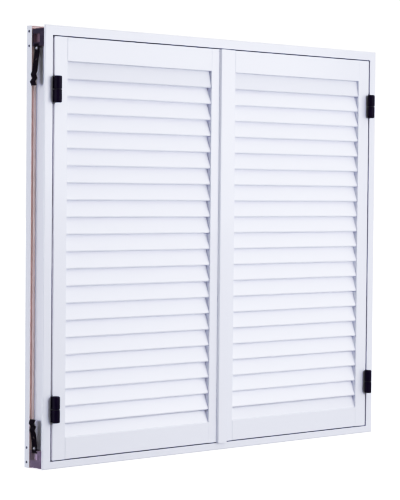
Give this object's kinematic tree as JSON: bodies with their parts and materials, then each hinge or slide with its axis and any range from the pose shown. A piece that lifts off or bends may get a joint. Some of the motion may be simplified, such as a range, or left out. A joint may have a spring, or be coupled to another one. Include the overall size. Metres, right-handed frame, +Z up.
{
  "type": "louvred shutters",
  "caption": "Pair of louvred shutters in an outer frame: hinged leaves with fixed sloping slats, a cover strip, barrel hinges and building-in straps.",
  "frame": {"origin": "middle of the part's box in X and Y, at the underside of the sill", "axes": "+X to the right seen from outside, -Y to the outside, +Z up"},
  "size_m": [1.1198, 0.087, 1],
  "materials": {
    "white_lacquer": "gloss white lacquer on aluminium",
    "hinge_black": "satin black",
    "cleat_dark": "dark moulded block",
    "strap_black": "blackened steel strap",
    "washer_nylon": "dark nylon",
    "gasket": "matt rubber",
    "handle_grey": "white lacquer",
    "screw_dark": "dark steel",
    "zinc": "zinc plated steel"
  },
  "bodies": {
    "frame": {"head_bar": "white_lacquer", "sill_bar": "white_lacquer", "left_jamb": "white_lacquer", "right_jamb": "white_lacquer", "corner_cleat_tl": "cleat_dark", "corner_cleat_tr": "cleat_dark", "corner_cleat_bl": "cleat_dark", "corner_cleat_br": "cleat_dark", "corner_key_tl": "zinc", "corner_key_tr": "zinc", "corner_key_bl": "zinc", "corner_key_br": "zinc", "corner_screws": "screw_dark", "wall_tie_tl": "strap_black", "wall_tie_tr": "strap_black", "wall_tie_bl": "strap_black", "wall_tie_br": "strap_black", "tie_rivets": "zinc", "stop_gasket": "gasket", "left_low_frame_knuckle": "hinge_black", "left_top_frame_knuckle": "hinge_black", "right_low_frame_knuckle": "hinge_black", "right_top_frame_knuckle": "hinge_black", "left_low_hinge_pin": "zinc", "left_top_hinge_pin": "zinc", "right_low_hinge_pin": "zinc", "right_top_hinge_pin": "zinc", "left_low_hinge_washer": "washer_nylon", "left_top_hinge_washer": "washer_nylon", "right_low_hinge_washer": "washer_nylon", "right_top_hinge_washer": "washer_nylon", "frame_hinge_screws": "screw_dark"},
    "left_leaf": {"left_hinge_stile": "white_lacquer", "left_meeting_stile": "white_lacquer", "left_top_rail": "white_lacquer", "left_bottom_rail": "white_lacquer", "left_slats": "white_lacquer", "left_edge_seal": "gasket", "left_low_leaf_knuckle": "hinge_black", "left_top_leaf_knuckle": "hinge_black", "left_hinge_screws": "screw_dark", "top_bolt_case": "zinc", "bottom_bolt_case": "zinc", "latch_keep": "zinc"},
    "right_leaf": {"right_hinge_stile": "white_lacquer", "right_meeting_stile": "white_lacquer", "right_top_rail": "white_lacquer", "right_bottom_rail": "white_lacquer", "right_slats": "white_lacquer", "right_edge_seal": "gasket", "right_low_leaf_knuckle": "hinge_black", "right_top_leaf_knuckle": "hinge_black", "right_hinge_screws": "screw_dark", "cover_strip": "white_lacquer", "latch_base": "zinc"},
    "top_bolt": {"top_bolt": "handle_grey"},
    "bottom_bolt": {"bottom_bolt": "handle_grey"},
    "latch_handle": {"latch_handle": "handle_grey"}
  },
  "joints": [
    {"name": "left_leaf_swing", "type": "hinge", "parent": "frame", "child": "left_leaf", "pos_m": [-0.5218, -0.0345, 0.5], "axis": [0, 0, -1], "range_deg": [0, 180]},
    {"name": "right_leaf_swing", "type": "hinge", "parent": "frame", "child": "right_leaf", "pos_m": [0.5218, -0.0345, 0.5], "axis": [0, 0, 1], "range_deg": [0, 180]},
    {"name": "top_bolt_slide", "type": "slide", "parent": "left_leaf", "child": "top_bolt", "axis": [0, 0, 1], "range_m": [0, 0.018]},
    {"name": "bottom_bolt_slide", "type": "slide", "parent": "left_leaf", "child": "bottom_bolt", "axis": [0, 0, -1], "range_m": [0, 0.018]},
    {"name": "latch_turn", "type": "hinge", "parent": "right_leaf", "child": "latch_handle", "pos_m": [0.02125, 0.0265, 0.5], "axis": [0, 1, 0], "range_deg": [0, 90]}
  ]
}
